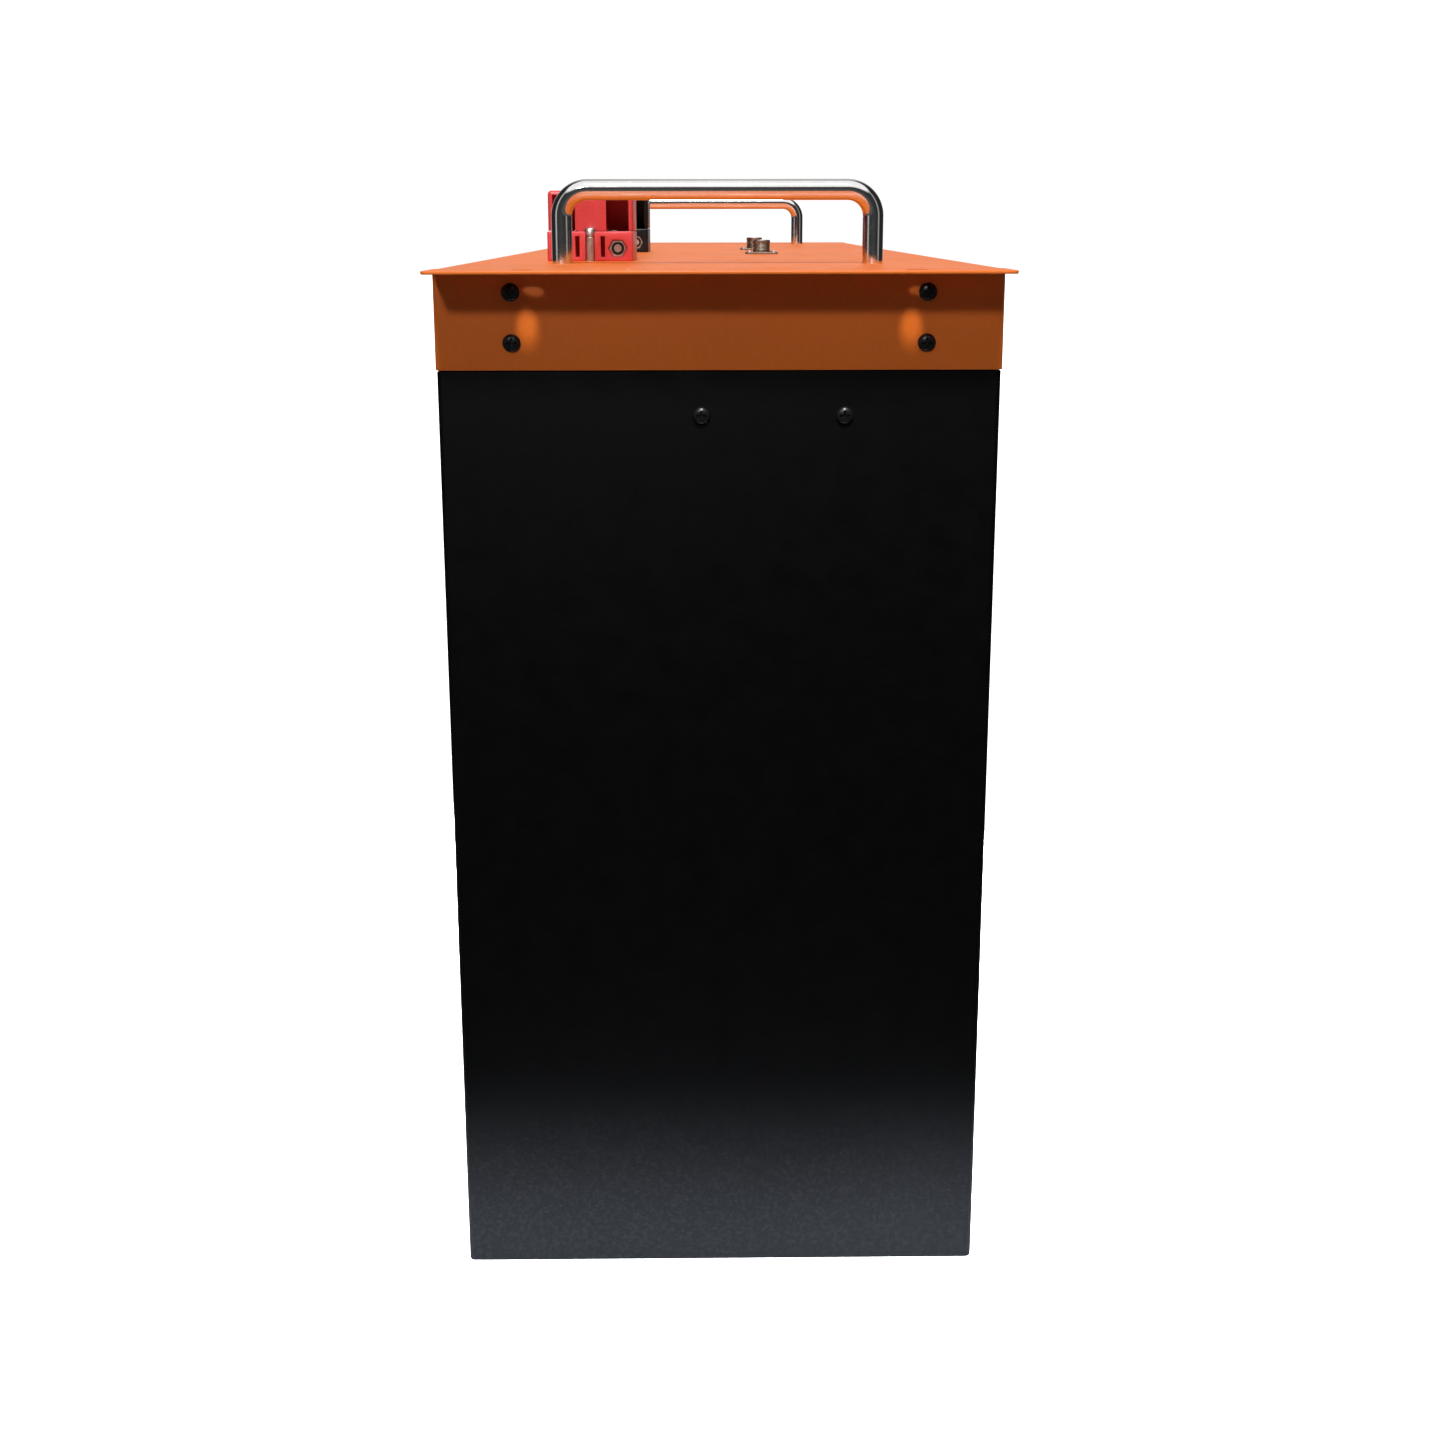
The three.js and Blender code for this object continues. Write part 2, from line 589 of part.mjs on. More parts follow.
// The battery's two current leads and the board's signal lead, clipped under the lid.
add('positive_lead', 'redPlastic', lead([
  [FUSE.x, FUSE_MIDDLE, FUSE_TAB_TOP],
  [FUSE.x, FUSE_MIDDLE, FUSE_TAB_TOP + 25],
  [BLOCK.x, RED_STEM, STEM_END - 30],
  [BLOCK.x, RED_STEM, STEM_END],
], LEAD.radius));
add('negative_lead', 'blackPlastic', lead([
  [BRACKET.x - 40, BOARD_MIDDLE, BOARD_TOP],
  [BRACKET.x - 40, BOARD_MIDDLE, BOARD_TOP + 15],
  [BRACKET.x - 50, BOARD_MIDDLE + 60, BOARD_TOP + 20],
  [BLOCK.x + 20, BLACK_STEM - 80, BOARD_TOP + 5],
  [BLOCK.x, BLACK_STEM, STEM_END - 30],
  [BLOCK.x, BLACK_STEM, STEM_END],
], LEAD.radius));
const SOCKET_END = LID_TOP - SOCKET_BODY.below - TOUCH;
const SOCKET_NEAR = FRONT + SOCKET.near;
add('signal_lead', 'blackPlastic', lead([
  [BRACKET.x + 40, BOARD_MIDDLE, BOARD_TOP],
  [BRACKET.x + 40, BOARD_MIDDLE, BOARD_TOP + 15],
  [SOCKET.x + 20, BOARD_MIDDLE + 90, BOARD_TOP + 20],
  [SOCKET.x, SOCKET_NEAR, SOCKET_END - 20],
  [SOCKET.x, SOCKET_NEAR, SOCKET_END],
], SIGNAL_LEAD_RADIUS));

export default pack;
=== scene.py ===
"""Looks for the battery pack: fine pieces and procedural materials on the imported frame.

Lengths are in millimetres until a mesh is made. X runs across the pack, Y along it away from
the end with the terminals' fronts, Z up.
"""

import json
import math

import bpy
from mathutils import Matrix, Vector


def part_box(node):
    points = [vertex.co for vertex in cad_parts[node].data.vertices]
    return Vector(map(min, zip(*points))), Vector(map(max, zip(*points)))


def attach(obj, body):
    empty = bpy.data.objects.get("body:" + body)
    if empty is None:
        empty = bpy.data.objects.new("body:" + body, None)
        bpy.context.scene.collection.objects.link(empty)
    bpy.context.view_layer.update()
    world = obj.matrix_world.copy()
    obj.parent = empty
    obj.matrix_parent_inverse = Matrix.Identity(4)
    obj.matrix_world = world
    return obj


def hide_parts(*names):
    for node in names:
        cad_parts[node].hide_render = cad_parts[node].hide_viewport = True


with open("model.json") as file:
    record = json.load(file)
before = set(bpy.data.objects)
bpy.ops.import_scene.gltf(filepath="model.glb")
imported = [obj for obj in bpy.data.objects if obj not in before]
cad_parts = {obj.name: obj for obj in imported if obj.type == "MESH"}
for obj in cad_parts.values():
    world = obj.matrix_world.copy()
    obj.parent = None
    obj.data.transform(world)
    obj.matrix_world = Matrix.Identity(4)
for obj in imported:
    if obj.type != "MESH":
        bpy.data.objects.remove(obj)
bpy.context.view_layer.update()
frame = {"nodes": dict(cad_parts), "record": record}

MM = 0.001
PACK = "pack"

# The camera stands in front of the lid's front skirt and a little above the lid.
CAMERA = {"x": -7.25, "ahead": 705.6, "above": 20.7}
CAMERA_TURN = {"down": 11.9, "right": 0.6, "roll": 0.07}
LENS = 40
SENSOR = 36
SHIFT_DOWN = 0.1131

# A sun's tilt is from the vertical towards the front, and its swing is about the vertical.
SUNS = {
    "main_light": {"tilt": 31, "swing": 0, "strength": 3.2, "width": 9},
    "front_light": {"tilt": 60, "swing": -12, "strength": 0.74, "width": 6},
}

# Weak strips stand off the foot of each wall and run a margin past its ends. Power is in watts
# for each metre of strip, and spread is in degrees.
LOW_LIGHT = {"gap": 105, "height": 8, "thick": 20, "power": 9, "spread": 85, "margin": 50}

# The direction of the middle of the bright panel overhead, towards the front.
CEILING_PANEL = (0, -0.38, 0.92)
FILL_LIGHT = 0.05
CEILING_LIGHT = 1.15
BACKDROP_LIGHT = 1.05

# Brightness round the room from behind the pack (0), by its left, its front (0.5) and its
# right, to its back again (1): a pale wall behind, dark walls at the sides and the front, and
# a tall soft panel at each side of the front.
WALLS = [
    (0.0, 0.55), (0.06, 0.40), (0.12, 0.02), (0.30, 0.02), (0.325, 0.5), (0.345, 0.5), (0.37, 0.03),
    (0.5, 0.05), (0.63, 0.02), (0.655, 0.32), (0.675, 0.32), (0.70, 0.02), (0.88, 0.02), (0.94, 0.40),
    (1.0, 0.55),
]

# The floor lies just under the pack. Dull is how much light it gives back to the pack.
FLOOR = {"size": 30000, "drop": 0.3, "dull": 0.1}

# Sheet metal and its screws.
SHEET = 1.5
BEND = 2.5
SHOULDER_GAP = 0.5
NECK_INSET = 1.3
SKIRT_EDGE = 0.4
EAR = {"overlap": 4, "edge": 0.45, "hole_x": 84, "hole_radius": 4.75}
SEAM = {"half_width": 0.35, "depth": 0.18, "inset": 3}
WALL_SCREW = {"head_height": 2.2, "radius": 2.4, "length": 12}
HANDLE_BEND = 12.5

# Terminal blocks.
BASE_HEIGHT = 15
HOOD = {"length": 43.2, "panel": 16, "wall": 2.4, "crown": 0.35, "window_top": 2.6}
HINGE = {"inner": 12, "outer": 20, "radius": 2.8, "web": 11.7, "web_radius": 2.7, "pin": 1.2}
CLAMP = {"x": 14.2, "height": 6.5, "pocket": 5.1, "sink": 5, "nut_depth": 4.0, "nut_radius": 4.8}
SLOT = {"x": 6.5, "half_width": 1.15, "bottom": 2.1, "top": 12.7, "depth": 12}
NOTCH_RADIUS = 4.2
STEM = {"inset": 28, "half_width": 7, "half_depth": 3, "clearance": 0.6}

# Signal sockets.
FLANGE = {"half": 10, "corner": 2, "thickness": 1, "screw": 7.6}
CONTACTS = {"count": 4, "ring": 2.3, "below": 2.4}


def span(node):
    """A node's lowest and highest corners in millimetres."""
    low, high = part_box(node)
    return Vector(low) / MM, Vector(high) / MM


def middle(node):
    """The middle of a node's box in millimetres."""
    low, high = span(node)
    return (low + high) / 2


CASE_LOW, CASE_HIGH = span("case_shell")
LID_LOW, LID_HIGH = span("lid_cover")
LID_TOP = LID_HIGH.z
SCREW_SEAT = span("cover_screw_front_1")[0].y + WALL_SCREW["head_height"]


def make_camera():
    data = bpy.data.cameras.new("camera")
    data.sensor_width = SENSOR
    data.lens = LENS
    data.shift_y = -SHIFT_DOWN
    data.clip_start = 0.01
    data.clip_end = 100
    camera = bpy.data.objects.new("camera", data)
    turn = Matrix.Rotation(math.radians(-CAMERA_TURN["right"]), 4, "Z")
    turn = turn @ Matrix.Rotation(math.radians(90 - CAMERA_TURN["down"]), 4, "X")
    turn = turn @ Matrix.Rotation(math.radians(-CAMERA_TURN["roll"]), 4, "Z")
    place = Vector((CAMERA["x"], SCREW_SEAT - CAMERA["ahead"], LID_TOP + CAMERA["above"])) * MM
    camera.matrix_world = Matrix.Translation(place) @ turn
    bpy.context.collection.objects.link(camera)
    bpy.context.scene.camera = camera


# Light.

def add_sun(name, sun):
    """A soft far light."""
    data = bpy.data.lights.new(name, "SUN")
    data.energy = sun["strength"]
    data.angle = math.radians(sun["width"])
    lamp = bpy.data.objects.new(name, data)
    turn = Matrix.Rotation(math.radians(sun["swing"]), 4, "Z")
    turn = turn @ Matrix.Rotation(math.radians(sun["tilt"]), 4, "X")
    lamp.matrix_world = Matrix.Translation((0, -1, 2)) @ turn
    bpy.context.collection.objects.link(lamp)


def add_low_light(name, angle, wall, length):
    """A strip that lifts the foot of a wall, seen from the front and turned by angle.

    wall is how far the wall stands from the pack's middle, and length is the wall's own.
    """
    size = (length + 2 * LOW_LIGHT["margin"]) * MM
    data = bpy.data.lights.new(name, "AREA")
    data.shape = "RECTANGLE"
    data.size = size
    data.size_y = LOW_LIGHT["thick"] * MM
    data.energy = LOW_LIGHT["power"] * size
    data.spread = math.radians(LOW_LIGHT["spread"])
    data.color = (0.93, 0.96, 1.0)
    lamp = bpy.data.objects.new(name, data)
    place = Vector((0, -wall - LOW_LIGHT["gap"], LOW_LIGHT["height"])) * MM
    swing = Matrix.Rotation(math.radians(angle), 4, "Z")
    lamp.matrix_world = swing @ Matrix.Translation(place) @ Matrix.Rotation(math.radians(90), 4, "X")
    lamp.visible_camera = False
    lamp.visible_glossy = False
    bpy.context.collection.objects.link(lamp)


def light_walls():
    """One low strip for each of the case's four walls."""
    size = CASE_HIGH - CASE_LOW
    for angle in (0, 90, 180, 270):
        across_end = angle % 180 == 0
        wall, length = (size.y / 2, size.x) if across_end else (size.x / 2, size.y)
        add_low_light(f"low_light_{angle}", angle, wall, length)


def make_world():
    """Dim fill light, a room for polished parts to reflect, and a white backdrop."""
    world = bpy.data.worlds.new("studio")
    bpy.context.scene.world = world
    world.use_nodes = True
    net = Net(world.node_tree)
    out = net.add("OutputWorld")
    path = net.add("LightPath")
    fill = net.add("Background", Strength=FILL_LIGHT)
    direction = net.add("TexCoord")
    parts = net.add("SeparateXYZ")
    net.link(direction.outputs["Generated"], parts.inputs[0])
    near_panel = net.add("VectorMath")
    near_panel.operation = "DOT_PRODUCT"
    near_panel.inputs[1].default_value = CEILING_PANEL
    net.link(direction.outputs["Generated"], near_panel.inputs[0])
    above = net.ramp(near_panel.outputs["Value"], [(0.72, (0, 0, 0)), (0.80, (1, 1, 1))])
    room = net.add("Background", Strength=CEILING_LIGHT)
    net.link(net.blend(above, room_walls(net, parts), (1, 1, 1)), room.inputs["Color"])
    backdrop = net.add("Background", Strength=BACKDROP_LIGHT)
    backdrop.inputs["Color"].default_value = (1, 1, 1, 1)
    shiny = net.mix_shader(path.outputs["Is Glossy Ray"], fill.outputs[0], room.outputs[0])
    seen = net.mix_shader(path.outputs["Is Camera Ray"], shiny, backdrop.outputs[0])
    net.link(seen, out.inputs["Surface"])


def room_walls(net, parts):
    """What polished parts reflect at eye level, by the direction round the room."""
    ahead = net.add("Math")
    ahead.operation = "MULTIPLY"
    ahead.inputs[1].default_value = -1
    net.link(parts.outputs["Y"], ahead.inputs[0])
    angle = net.add("Math")
    angle.operation = "ARCTAN2"
    net.link(parts.outputs["X"], angle.inputs[0])
    net.link(ahead.outputs[0], angle.inputs[1])
    turn = net.spread(angle.outputs[0], 0, 1, -math.pi, math.pi)
    return net.ramp(turn, [(place, (value, value, value)) for place, value in WALLS])


class Net:
    """Short calls for building a node tree."""

    def __init__(self, tree):
        self.tree = tree
        tree.nodes.clear()

    def add(self, kind, **inputs):
        prefix = kind if kind.startswith("ShaderNode") else "ShaderNode" + kind
        node = self.tree.nodes.new(prefix)
        for name, value in inputs.items():
            node.inputs[name.replace("_", " ")].default_value = value
        return node

    def link(self, source, target):
        self.tree.links.new(source, target)

    def ramp(self, source, stops):
        node = self.add("ValToRGB")
        band = node.color_ramp
        for place, _ in stops[2:]:
            band.elements.new(place)
        for element, (place, _) in zip(band.elements, stops):
            element.position = place
        for element, (_, colour) in zip(band.elements, stops):
            element.color = (*colour, 1)
        self.link(source, node.inputs[0])
        return node.outputs["Color"]

    def mix_shader(self, factor, first, second):
        node = self.add("MixShader")
        self.link(factor, node.inputs[0])
        self.link(first, node.inputs[1])
        self.link(second, node.inputs[2])
        return node.outputs[0]

    def noise(self, size, detail=3, seed=0.0, stretch=(1, 1, 1), distortion=0.0):
        """Noise whose lumps are about size millimetres wide."""
        place = self.add("TexCoord")
        shift = self.add("Mapping")
        shift.inputs["Location"].default_value = (seed, seed * 1.7, seed * 0.6)
        shift.inputs["Scale"].default_value = stretch
        self.link(place.outputs["Object"], shift.inputs["Vector"])
        node = self.add("TexNoise", Scale=1 / (size * MM), Detail=detail, Distortion=distortion)
        self.link(shift.outputs[0], node.inputs["Vector"])
        return node.outputs["Fac"]

    def spread(self, source, low, high, start=0.3, end=0.7):
        """Maps the middle of a noise onto low..high."""
        node = self.add("MapRange")
        values = (start, end, low, high)
        for name, value in zip(("From Min", "From Max", "To Min", "To Max"), values):
            node.inputs[name].default_value = value
        self.link(source, node.inputs["Value"])
        return node.outputs[0]

    def blend(self, factor, first, second):
        node = self.add("Mix")
        node.data_type = "RGBA"
        colours = [socket for socket in node.inputs if socket.type == "RGBA"]
        self.link(factor, node.inputs[0])
        for socket, value in zip(colours, (first, second)):
            if isinstance(value, tuple):
                socket.default_value = (*value, 1)
            else:
                self.link(value, socket)
        return [socket for socket in node.outputs if socket.type == "RGBA"][0]

    def bump(self, height, depth, strength=1.0, under=None):
        """Relief whose height is depth millimetres."""
        node = self.add("Bump", Strength=strength, Distance=depth * MM)
        self.link(height, node.inputs["Height"])
        if under is not None:
            self.link(under, node.inputs["Normal"])
        return node.outputs[0]


def shade(colour, factor):
    """A colour made lighter or darker."""
    return tuple(min(1.0, value * factor) for value in colour)


def surface(name, colour, rough, grain, depth, **options):
    """A moulded, coated or rolled surface: grain in its relief, gloss that varies, soft mottle.

    grain and depth are the relief's size and height in millimetres.
    """
    material = bpy.data.materials.new(name)
    material.use_nodes = True
    net = Net(material.node_tree)
    out = net.add("OutputMaterial")
    shader = net.add("BsdfPrincipled")
    net.link(shader.outputs[0], out.inputs["Surface"])
    shader.inputs["Metallic"].default_value = options.get("metal", 0.0)
    shader.inputs["Specular IOR Level"].default_value = options.get("specular", 0.5)
    shader.inputs["Coat Weight"].default_value = options.get("coat", 0.0)
    shader.inputs["Coat Roughness"].default_value = options.get("coat_rough", 0.2)
    shader.inputs["Subsurface Weight"].default_value = options.get("glow_through", 0.0)
    shader.inputs["Subsurface Scale"].default_value = 5 * MM

    stretch = options.get("stretch", (1, 1, 1))
    seed = options.get("seed", 1.0)
    vary = options.get("mottle", 0.12)
    broad = net.spread(net.noise(options.get("patch", 60), 4, seed), 0, 1)
    tint = net.blend(broad, shade(colour, 1 - vary), shade(colour, 1 + vary))
    specks = net.spread(net.noise(grain * 2.5, 2, seed + 3, stretch), 0, 0.5, 0.45, 0.75)
    tint = net.blend(specks, tint, options.get("fleck", shade(colour, 1.35)))
    wear = options.get("wear", 0.25)
    scuffs = net.spread(net.noise(9, 6, seed + 7, (1, 1, 0.25), 1.2), 0, wear, 0.66, 0.8)
    tint = net.blend(scuffs, tint, options.get("bare", shade(colour, 1.6)))
    net.link(tint, shader.inputs["Base Color"])

    swing = options.get("gloss_swing", 0.08)
    gloss = net.noise(options.get("gloss_patch", 14), 5, seed + 11, stretch)
    net.link(net.spread(gloss, rough - swing, rough + swing), shader.inputs["Roughness"])

    fine = net.bump(net.noise(grain, 2, seed + 5, stretch), depth)
    wave = options.get("wave", 0.0)
    if wave:
        fine = net.bump(net.noise(options.get("wave_size", 90), 2, seed + 9), wave, 1.0, fine)
    net.link(fine, shader.inputs["Normal"])
    return material


def make_materials():
    made = {}
    made["orange_powder_coat"] = surface(
        "orange_coat", (0.86, 0.18, 0.015), 0.45, 0.9, 0.008, mottle=0.05, patch=120, seed=2,
        wave=0.10, wear=0.08, fleck=(0.95, 0.20, 0.03), bare=(0.9, 0.24, 0.06), specular=0.45)
    made["black_powder_coat"] = surface(
        "black_coat", (0.0012, 0.0013, 0.0015), 0.5, 0.7, 0.02, mottle=0.10, patch=160, seed=4,
        wave=0.12, wear=0.14, fleck=(0.0024, 0.0025, 0.0029), bare=(0.004, 0.004, 0.0045),
        specular=0.05)
    made["chrome_bar"] = surface(
        "chrome", (0.74, 0.73, 0.72), 0.07, 0.6, 0.0012, metal=1.0, mottle=0.04, patch=30, seed=6,
        gloss_swing=0.03, gloss_patch=5, wear=0.15, fleck=(0.9, 0.9, 0.9), bare=(0.62, 0.60, 0.58))
    made["nickel_fastener"] = surface(
        "nickel", (0.62, 0.59, 0.55), 0.36, 0.25, 0.006, metal=1.0, mottle=0.08, patch=5, seed=8,
        gloss_patch=2, wear=0.3, bare=(0.4, 0.38, 0.35))
    made["nickel_socket"] = surface(
        "nickel_brass", (0.38, 0.35, 0.31), 0.3, 0.3, 0.008, metal=1.0, mottle=0.08, patch=6, seed=9,
        gloss_patch=2, wear=0.3, bare=(0.45, 0.40, 0.30))
    made["nickel_flange"] = surface(
        "dull_nickel", (0.22, 0.17, 0.13), 0.5, 0.3, 0.008, metal=1.0, mottle=0.08, patch=6, seed=9)
    made["nickel_plated_copper"] = surface(
        "plated_copper", (0.66, 0.58, 0.48), 0.28, 0.35, 0.008, metal=1.0, mottle=0.1, patch=7,
        seed=10, stretch=(1, 0.15, 1), wear=0.35, bare=(0.62, 0.30, 0.17))
    made["red_plastic"] = surface(
        "red_nylon", (0.70, 0.07, 0.075), 0.36, 0.35, 0.012, mottle=0.07, patch=12, seed=12,
        gloss_swing=0.06, gloss_patch=6, wear=0.15, fleck=(0.8, 0.10, 0.105),
        bare=(0.8, 0.16, 0.16), glow_through=0.5)
    made["black_plastic"] = surface(
        "black_nylon", (0.005, 0.005, 0.0065), 0.36, 0.35, 0.012, mottle=0.15, patch=12, seed=13,
        gloss_swing=0.06, gloss_patch=6, wear=0.25, bare=(0.02, 0.02, 0.022), specular=0.3)
    made["black_screw"] = surface(
        "black_oxide", (0.016, 0.016, 0.018), 0.3, 0.25, 0.006, metal=0.6, mottle=0.2, patch=3, seed=14,
        gloss_patch=1.5, wear=0.4, bare=(0.09, 0.085, 0.08), specular=0.6)
    made["cell_film"] = surface(
        "cell_wrap", (0.02, 0.10, 0.36), 0.22, 0.8, 0.01, mottle=0.06, patch=30, seed=15,
        wave=0.2, wave_size=25, coat=0.4, coat_rough=0.1)
    made["fibre_board"] = surface(
        "glass_fibre_board", (0.52, 0.45, 0.22), 0.5, 0.5, 0.02, mottle=0.1, patch=10, seed=16,
        stretch=(1, 0.2, 1))
    made["bracket_aluminium"] = surface(
        "rolled_aluminium", (0.55, 0.56, 0.57), 0.33, 0.35, 0.006, metal=1.0, mottle=0.06, patch=20,
        seed=17, stretch=(1, 1, 0.06))
    made["circuit_board"] = surface(
        "potted_board", (0.015, 0.11, 0.045), 0.35, 1.2, 0.04, mottle=0.2, patch=6, seed=18,
        fleck=(0.5, 0.42, 0.16), coat=0.3)
    made["fuse_body"] = surface(
        "ceramic", (0.70, 0.68, 0.60), 0.4, 0.4, 0.008, mottle=0.04, patch=14, seed=19, coat=0.2)
    made["red_lead"] = surface(
        "red_silicone", (0.42, 0.012, 0.012), 0.5, 0.6, 0.01, mottle=0.08, patch=15, seed=20)
    made["black_lead"] = surface(
        "black_silicone", (0.014, 0.014, 0.014), 0.5, 0.6, 0.01, mottle=0.12, patch=15, seed=21)
    return made


# Shapes.

def outline(box, radius, z, steps=6):
    """A rounded rectangle in plan, counter-clockwise. box is (x0, y0, x1, y1)."""
    x0, y0, x1, y1 = box
    centres = [
        (x1 - radius, y1 - radius),
        (x0 + radius, y1 - radius),
        (x0 + radius, y0 + radius),
        (x1 - radius, y0 + radius),
    ]
    points = []
    for quarter, (cx, cy) in enumerate(centres):
        for i in range(steps + 1):
            angle = math.pi / 2 * (quarter + i / steps)
            points.append((cx + radius * math.cos(angle), cy + radius * math.sin(angle), z))
    return points


def inset_outline(box, radius, inset, z, steps=6):
    x0, y0, x1, y1 = box
    smaller = (x0 + inset, y0 + inset, x1 - inset, y1 - inset)
    return outline(smaller, max(radius - inset, 0.05), z, steps)


def loft(rings):
    """A closed skin through rings of equal count, with a cap at each end."""
    count = len(rings[0])
    points = [point for ring in rings for point in ring]
    faces = [tuple(reversed(range(count)))]
    for k in range(len(rings) - 1):
        a, b = k * count, (k + 1) * count
        for i in range(count):
            j = (i + 1) % count
            faces.append((a + i, a + j, b + j, b + i))
    last = (len(rings) - 1) * count
    faces.append(tuple(range(last, last + count)))
    return points, faces


def round_in(box, radius, edge, z, steps=4):
    """Rings that roll a top edge inwards, ending at height z."""
    rings = []
    for i in range(steps + 1):
        angle = math.pi / 2 * i / steps
        inset = edge * (1 - math.cos(angle))
        rings.append(inset_outline(box, radius, inset, z - edge * (1 - math.sin(angle))))
    return rings


def round_out(box, radius, edge, z, steps=4):
    """Rings that roll a bottom edge outwards, starting at height z."""
    rings = []
    for i in range(steps + 1):
        angle = math.pi / 2 * i / steps
        inset = edge * (1 - math.sin(angle))
        rings.append(inset_outline(box, radius, inset, z + edge * (1 - math.cos(angle))))
    return rings


def slab(box, radius, low, high, edge, steps=3):
    return loft(round_out(box, radius, edge, low, steps) + round_in(box, radius, edge, high, steps))


def turned(profile, sides=48):
    """A turned shape about Z from (radius, height) pairs, bottom to top."""
    rings = []
    for radius, height in profile:
        ring = []
        for i in range(sides):
            angle = 2 * math.pi * i / sides
            ring.append((radius * math.cos(angle), radius * math.sin(angle), height))
        rings.append(ring)
    return loft(rings)


def threads(radius, start, end, pitch=0.8, depth=0.35):
    """The profile of a thread's ridges between two heights."""
    profile = []
    count = max(1, round((end - start) / pitch))
    step = (end - start) / count
    for k in range(count):
        profile.append((radius - depth, start + k * step))
        profile.append((radius, start + (k + 0.4) * step))
        profile.append((radius, start + (k + 0.6) * step))
    profile.append((radius - depth, end))
    return profile


def cuboid(low, high):
    box = (low[0], low[1], high[0], high[1])
    points = [(x, y, z) for z in (low[2], high[2])
              for x, y in ((box[0], box[1]), (box[2], box[1]), (box[2], box[3]), (box[0], box[3]))]
    faces = [(3, 2, 1, 0), (4, 5, 6, 7), (0, 1, 5, 4), (1, 2, 6, 5), (2, 3, 7, 6), (3, 0, 4, 7)]
    return points, faces


def rod(radius, start, end, sides=32):
    """A round bar between two points."""
    start = Vector(start)
    along = Vector(end) - start
    shape = turned([(radius, 0), (radius, along.length)], sides)
    turn = along.to_track_quat("Z", "Y").to_matrix().to_4x4()
    return placed(shape, Matrix.Translation(start) @ turn)


def placed(shape, matrix):
    points, faces = shape
    return [tuple(matrix @ Vector(point)) for point in points], faces


def at(x, y, z):
    return Matrix.Translation((x, y, z))


def facing(direction):
    """Turns +Z to face along a direction."""
    return Vector(direction).to_track_quat("Z", "Y").to_matrix().to_4x4()


def joined(*shapes):
    points, faces = [], []
    for more_points, more_faces in shapes:
        offset = len(points)
        points.extend(more_points)
        faces.extend(tuple(index + offset for index in face) for face in more_faces)
    return points, faces


def make(name, shape, material=None):
    points, faces = shape
    mesh = bpy.data.meshes.new(name)
    mesh.from_pydata([Vector(point) * MM for point in points], [], faces)
    piece = bpy.data.objects.new(name, mesh)
    bpy.context.collection.objects.link(piece)
    if material:
        mesh.materials.append(material)
    return piece


def bake(piece):
    """Applies a piece's modifiers to its mesh."""
    bpy.context.view_layer.update()
    seen = piece.evaluated_get(bpy.context.evaluated_depsgraph_get())
    mesh = bpy.data.meshes.new_from_object(seen)
    mesh.name = piece.name
    piece.modifiers.clear()
    piece.data = mesh


def combine(piece, operation, *shapes):
    """Cuts shapes out of a piece, or adds them to it."""
    for shape in shapes:
        tool = make("tool", shape)
        step = piece.modifiers.new("combine", "BOOLEAN")
        step.operation = operation
        step.solver = "EXACT"
        step.object = tool
        bake(piece)
        bpy.data.objects.remove(tool)


def soften(piece, width, segments=2, angle=40):
    """Rounds a piece's sharp edges by width millimetres."""
    step = piece.modifiers.new("soften", "BEVEL")
    step.width = width * MM
    step.segments = segments
    step.limit_method = "ANGLE"
    step.angle_limit = math.radians(angle)
    step.use_clamp_overlap = True
    bake(piece)


def finish(piece, body, slot, *nodes, angle=32):
    """Smooths a piece's curves, gives it its slot's material if it has none, hangs it on its body and hides
    the nodes it stands for.
    """
    mesh = piece.data
    mesh.shade_smooth()
    mesh.set_sharp_from_angle(angle=math.radians(angle))
    if not mesh.materials or mesh.materials[0] is None:
        mesh.materials.clear()
        mesh.materials.append(MATERIALS[slot])
    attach(piece, body)
    if nodes:
        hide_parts(*nodes)
    return piece


# Sheet metal.

def plan(low, high):
    return (low.x, low.y, high.x, high.y)


def grown(box, amount):
    x0, y0, x1, y1 = box
    return (x0 - amount, y0 - amount, x1 + amount, y1 + amount)


def make_case():
    """The folded case: rolled bottom edge, long walls, shoulder and the neck under the lid."""
    box = plan(CASE_LOW, CASE_HIGH)
    shoulder = LID_LOW.z - SHOULDER_GAP
    neck = grown(box, -NECK_INSET)
    rings = round_out(box, BEND, 1.8, CASE_LOW.z)
    rings += round_in(box, BEND, 0.3, shoulder, 2)
    rings.append(outline(neck, BEND, shoulder))
    rings.append(outline(neck, BEND, CASE_HIGH.z))
    rings.append(inset_outline(neck, BEND, SHEET, CASE_HIGH.z))
    rings.append(inset_outline(neck, BEND, SHEET, CASE_LOW.z + SHEET))
    piece = make("case_fine", loft(rings))
    finish(piece, PACK, "black_powder_coat", "case_shell")


def ear_hole(side, y):
    """A cutter for the ear's hole on one side."""
    x = side * EAR["hole_x"]
    return rod(EAR["hole_radius"], (x, y, LID_TOP - 4), (x, y, LID_TOP + 4), 48)


def weld_seam(y):
    """A cutter for the shallow seam across the lid where the ear begins."""
    low = (LID_LOW.x + SEAM["inset"], y - SEAM["half_width"], LID_TOP - SEAM["depth"])
    return cuboid(low, (LID_HIGH.x - SEAM["inset"], y + SEAM["half_width"], LID_TOP + 1))


